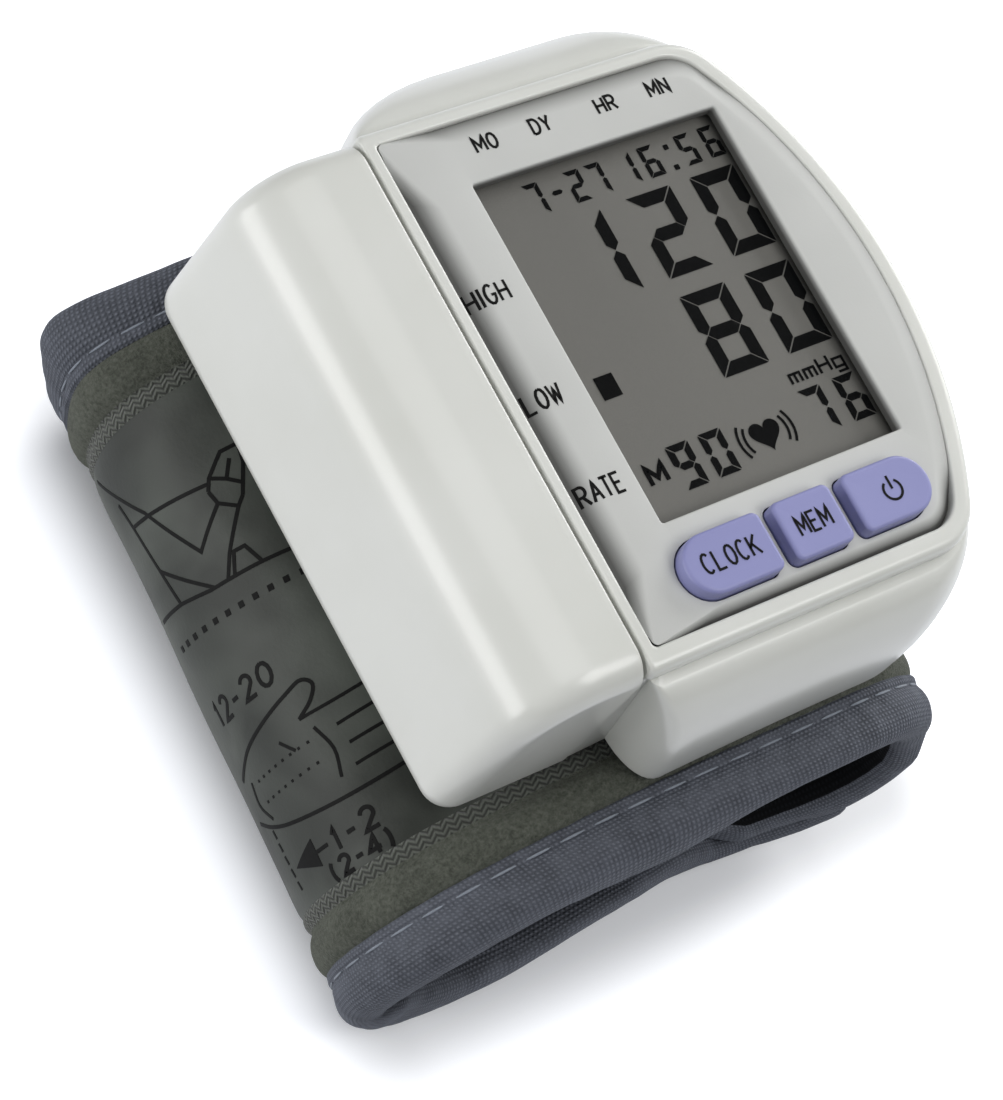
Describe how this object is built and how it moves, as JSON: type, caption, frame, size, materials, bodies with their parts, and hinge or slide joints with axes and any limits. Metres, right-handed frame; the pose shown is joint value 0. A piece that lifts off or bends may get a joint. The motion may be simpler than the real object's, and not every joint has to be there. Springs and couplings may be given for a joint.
{
  "type": "wrist blood pressure monitor",
  "caption": "Wrist blood pressure monitor: a case with a recessed display, rounded push buttons and a side battery cover on a padded wrap-round cuff.",
  "frame": {"origin": "under the middle of the whole, at the height of what it stands on", "axes": "+X to the right of the display, +Y to the display's top edge, +Z out of the display"},
  "size_m": [0.0774, 0.0834, 0.064],
  "materials": {
    "white_plastic": "pearl white, satin gloss",
    "silver_panel": "silver grey, satin",
    "lilac_plastic": "periwinkle, soft satin",
    "clear_plastic": "clear, polished",
    "display_glass": "grey reflective display",
    "black_plastic": "matte",
    "board_green": "solder mask",
    "plain_steel": "nickel plated",
    "nylon": "natural nylon",
    "soft_hose": "matte",
    "cell_wrap": "plain shrink wrap",
    "grey_felt": "brushed nylon",
    "slate_tape": "woven tape",
    "printed_vinyl": "smooth coated cloth",
    "dark_lining": "matte nylon",
    "hook_tape": "hook tape",
    "translucent_sheet": "frosted sheet"
  },
  "bodies": {
    "unit": {"top_housing": "white_plastic", "bottom_housing": "white_plastic", "display_panel": "silver_panel", "display_lens": "clear_plastic", "display_module": "display_glass", "display_holder": "black_plastic", "circuit_board": "board_green", "time_switch": "black_plastic", "memory_switch": "black_plastic", "power_switch": "black_plastic", "control_chip": "black_plastic", "pressure_sensor": "black_plastic", "air_pump_head": "black_plastic", "pump_motor": "plain_steel", "exhaust_valve": "plain_steel", "air_manifold": "nylon", "pump_hose": "soft_hose", "valve_hose": "soft_hose", "sensor_hose": "soft_hose", "upper_cell": "cell_wrap", "lower_cell": "cell_wrap", "bridge_contact": "plain_steel", "positive_contact": "plain_steel", "negative_contact": "plain_steel", "case_screw_front_left": "plain_steel", "case_screw_rear_left": "plain_steel", "case_screw_front_right": "plain_steel", "case_screw_rear_right": "plain_steel", "cuff_outer_fabric": "grey_felt", "cuff_clamp_plate": "black_plastic", "cuff_stiffener": "translucent_sheet", "air_bladder": "soft_hose", "cuff_inner_fabric": "dark_lining", "cuff_binding_front": "slate_tape", "cuff_binding_rear": "slate_tape", "instruction_label": "printed_vinyl", "loop_strip": "grey_felt", "air_port": "nylon"},
    "cover": {"battery_cover": "white_plastic"},
    "time_key": {"time_button": "lilac_plastic"},
    "memory_key": {"memory_button": "lilac_plastic"},
    "power_key": {"power_button": "lilac_plastic"},
    "cuff_flap": {"flap_fabric": "grey_felt", "flap_binding_front": "slate_tape", "flap_binding_rear": "slate_tape", "hook_strip": "hook_tape"}
  },
  "joints": [
    {"name": "cover_slide", "type": "slide", "parent": "unit", "child": "cover", "axis": [-1, 0, 0], "range_m": [0, 0.027]},
    {"name": "time_press", "type": "slide", "parent": "unit", "child": "time_key", "axis": [0, 0, -1], "range_m": [0, 0.0008], "stiffness_N_per_m": 1200},
    {"name": "memory_press", "type": "slide", "parent": "unit", "child": "memory_key", "axis": [0, 0, -1], "range_m": [0, 0.0008], "stiffness_N_per_m": 1200},
    {"name": "power_press", "type": "slide", "parent": "unit", "child": "power_key", "axis": [0, 0, -1], "range_m": [0, 0.0008], "stiffness_N_per_m": 1200},
    {"name": "flap_swing", "type": "hinge", "parent": "unit", "child": "cuff_flap", "pos_m": [-0.03192, -0.0021, 0.00517], "axis": [0.042, 0.9991, 0], "range_deg": [0, 100]}
  ]
}
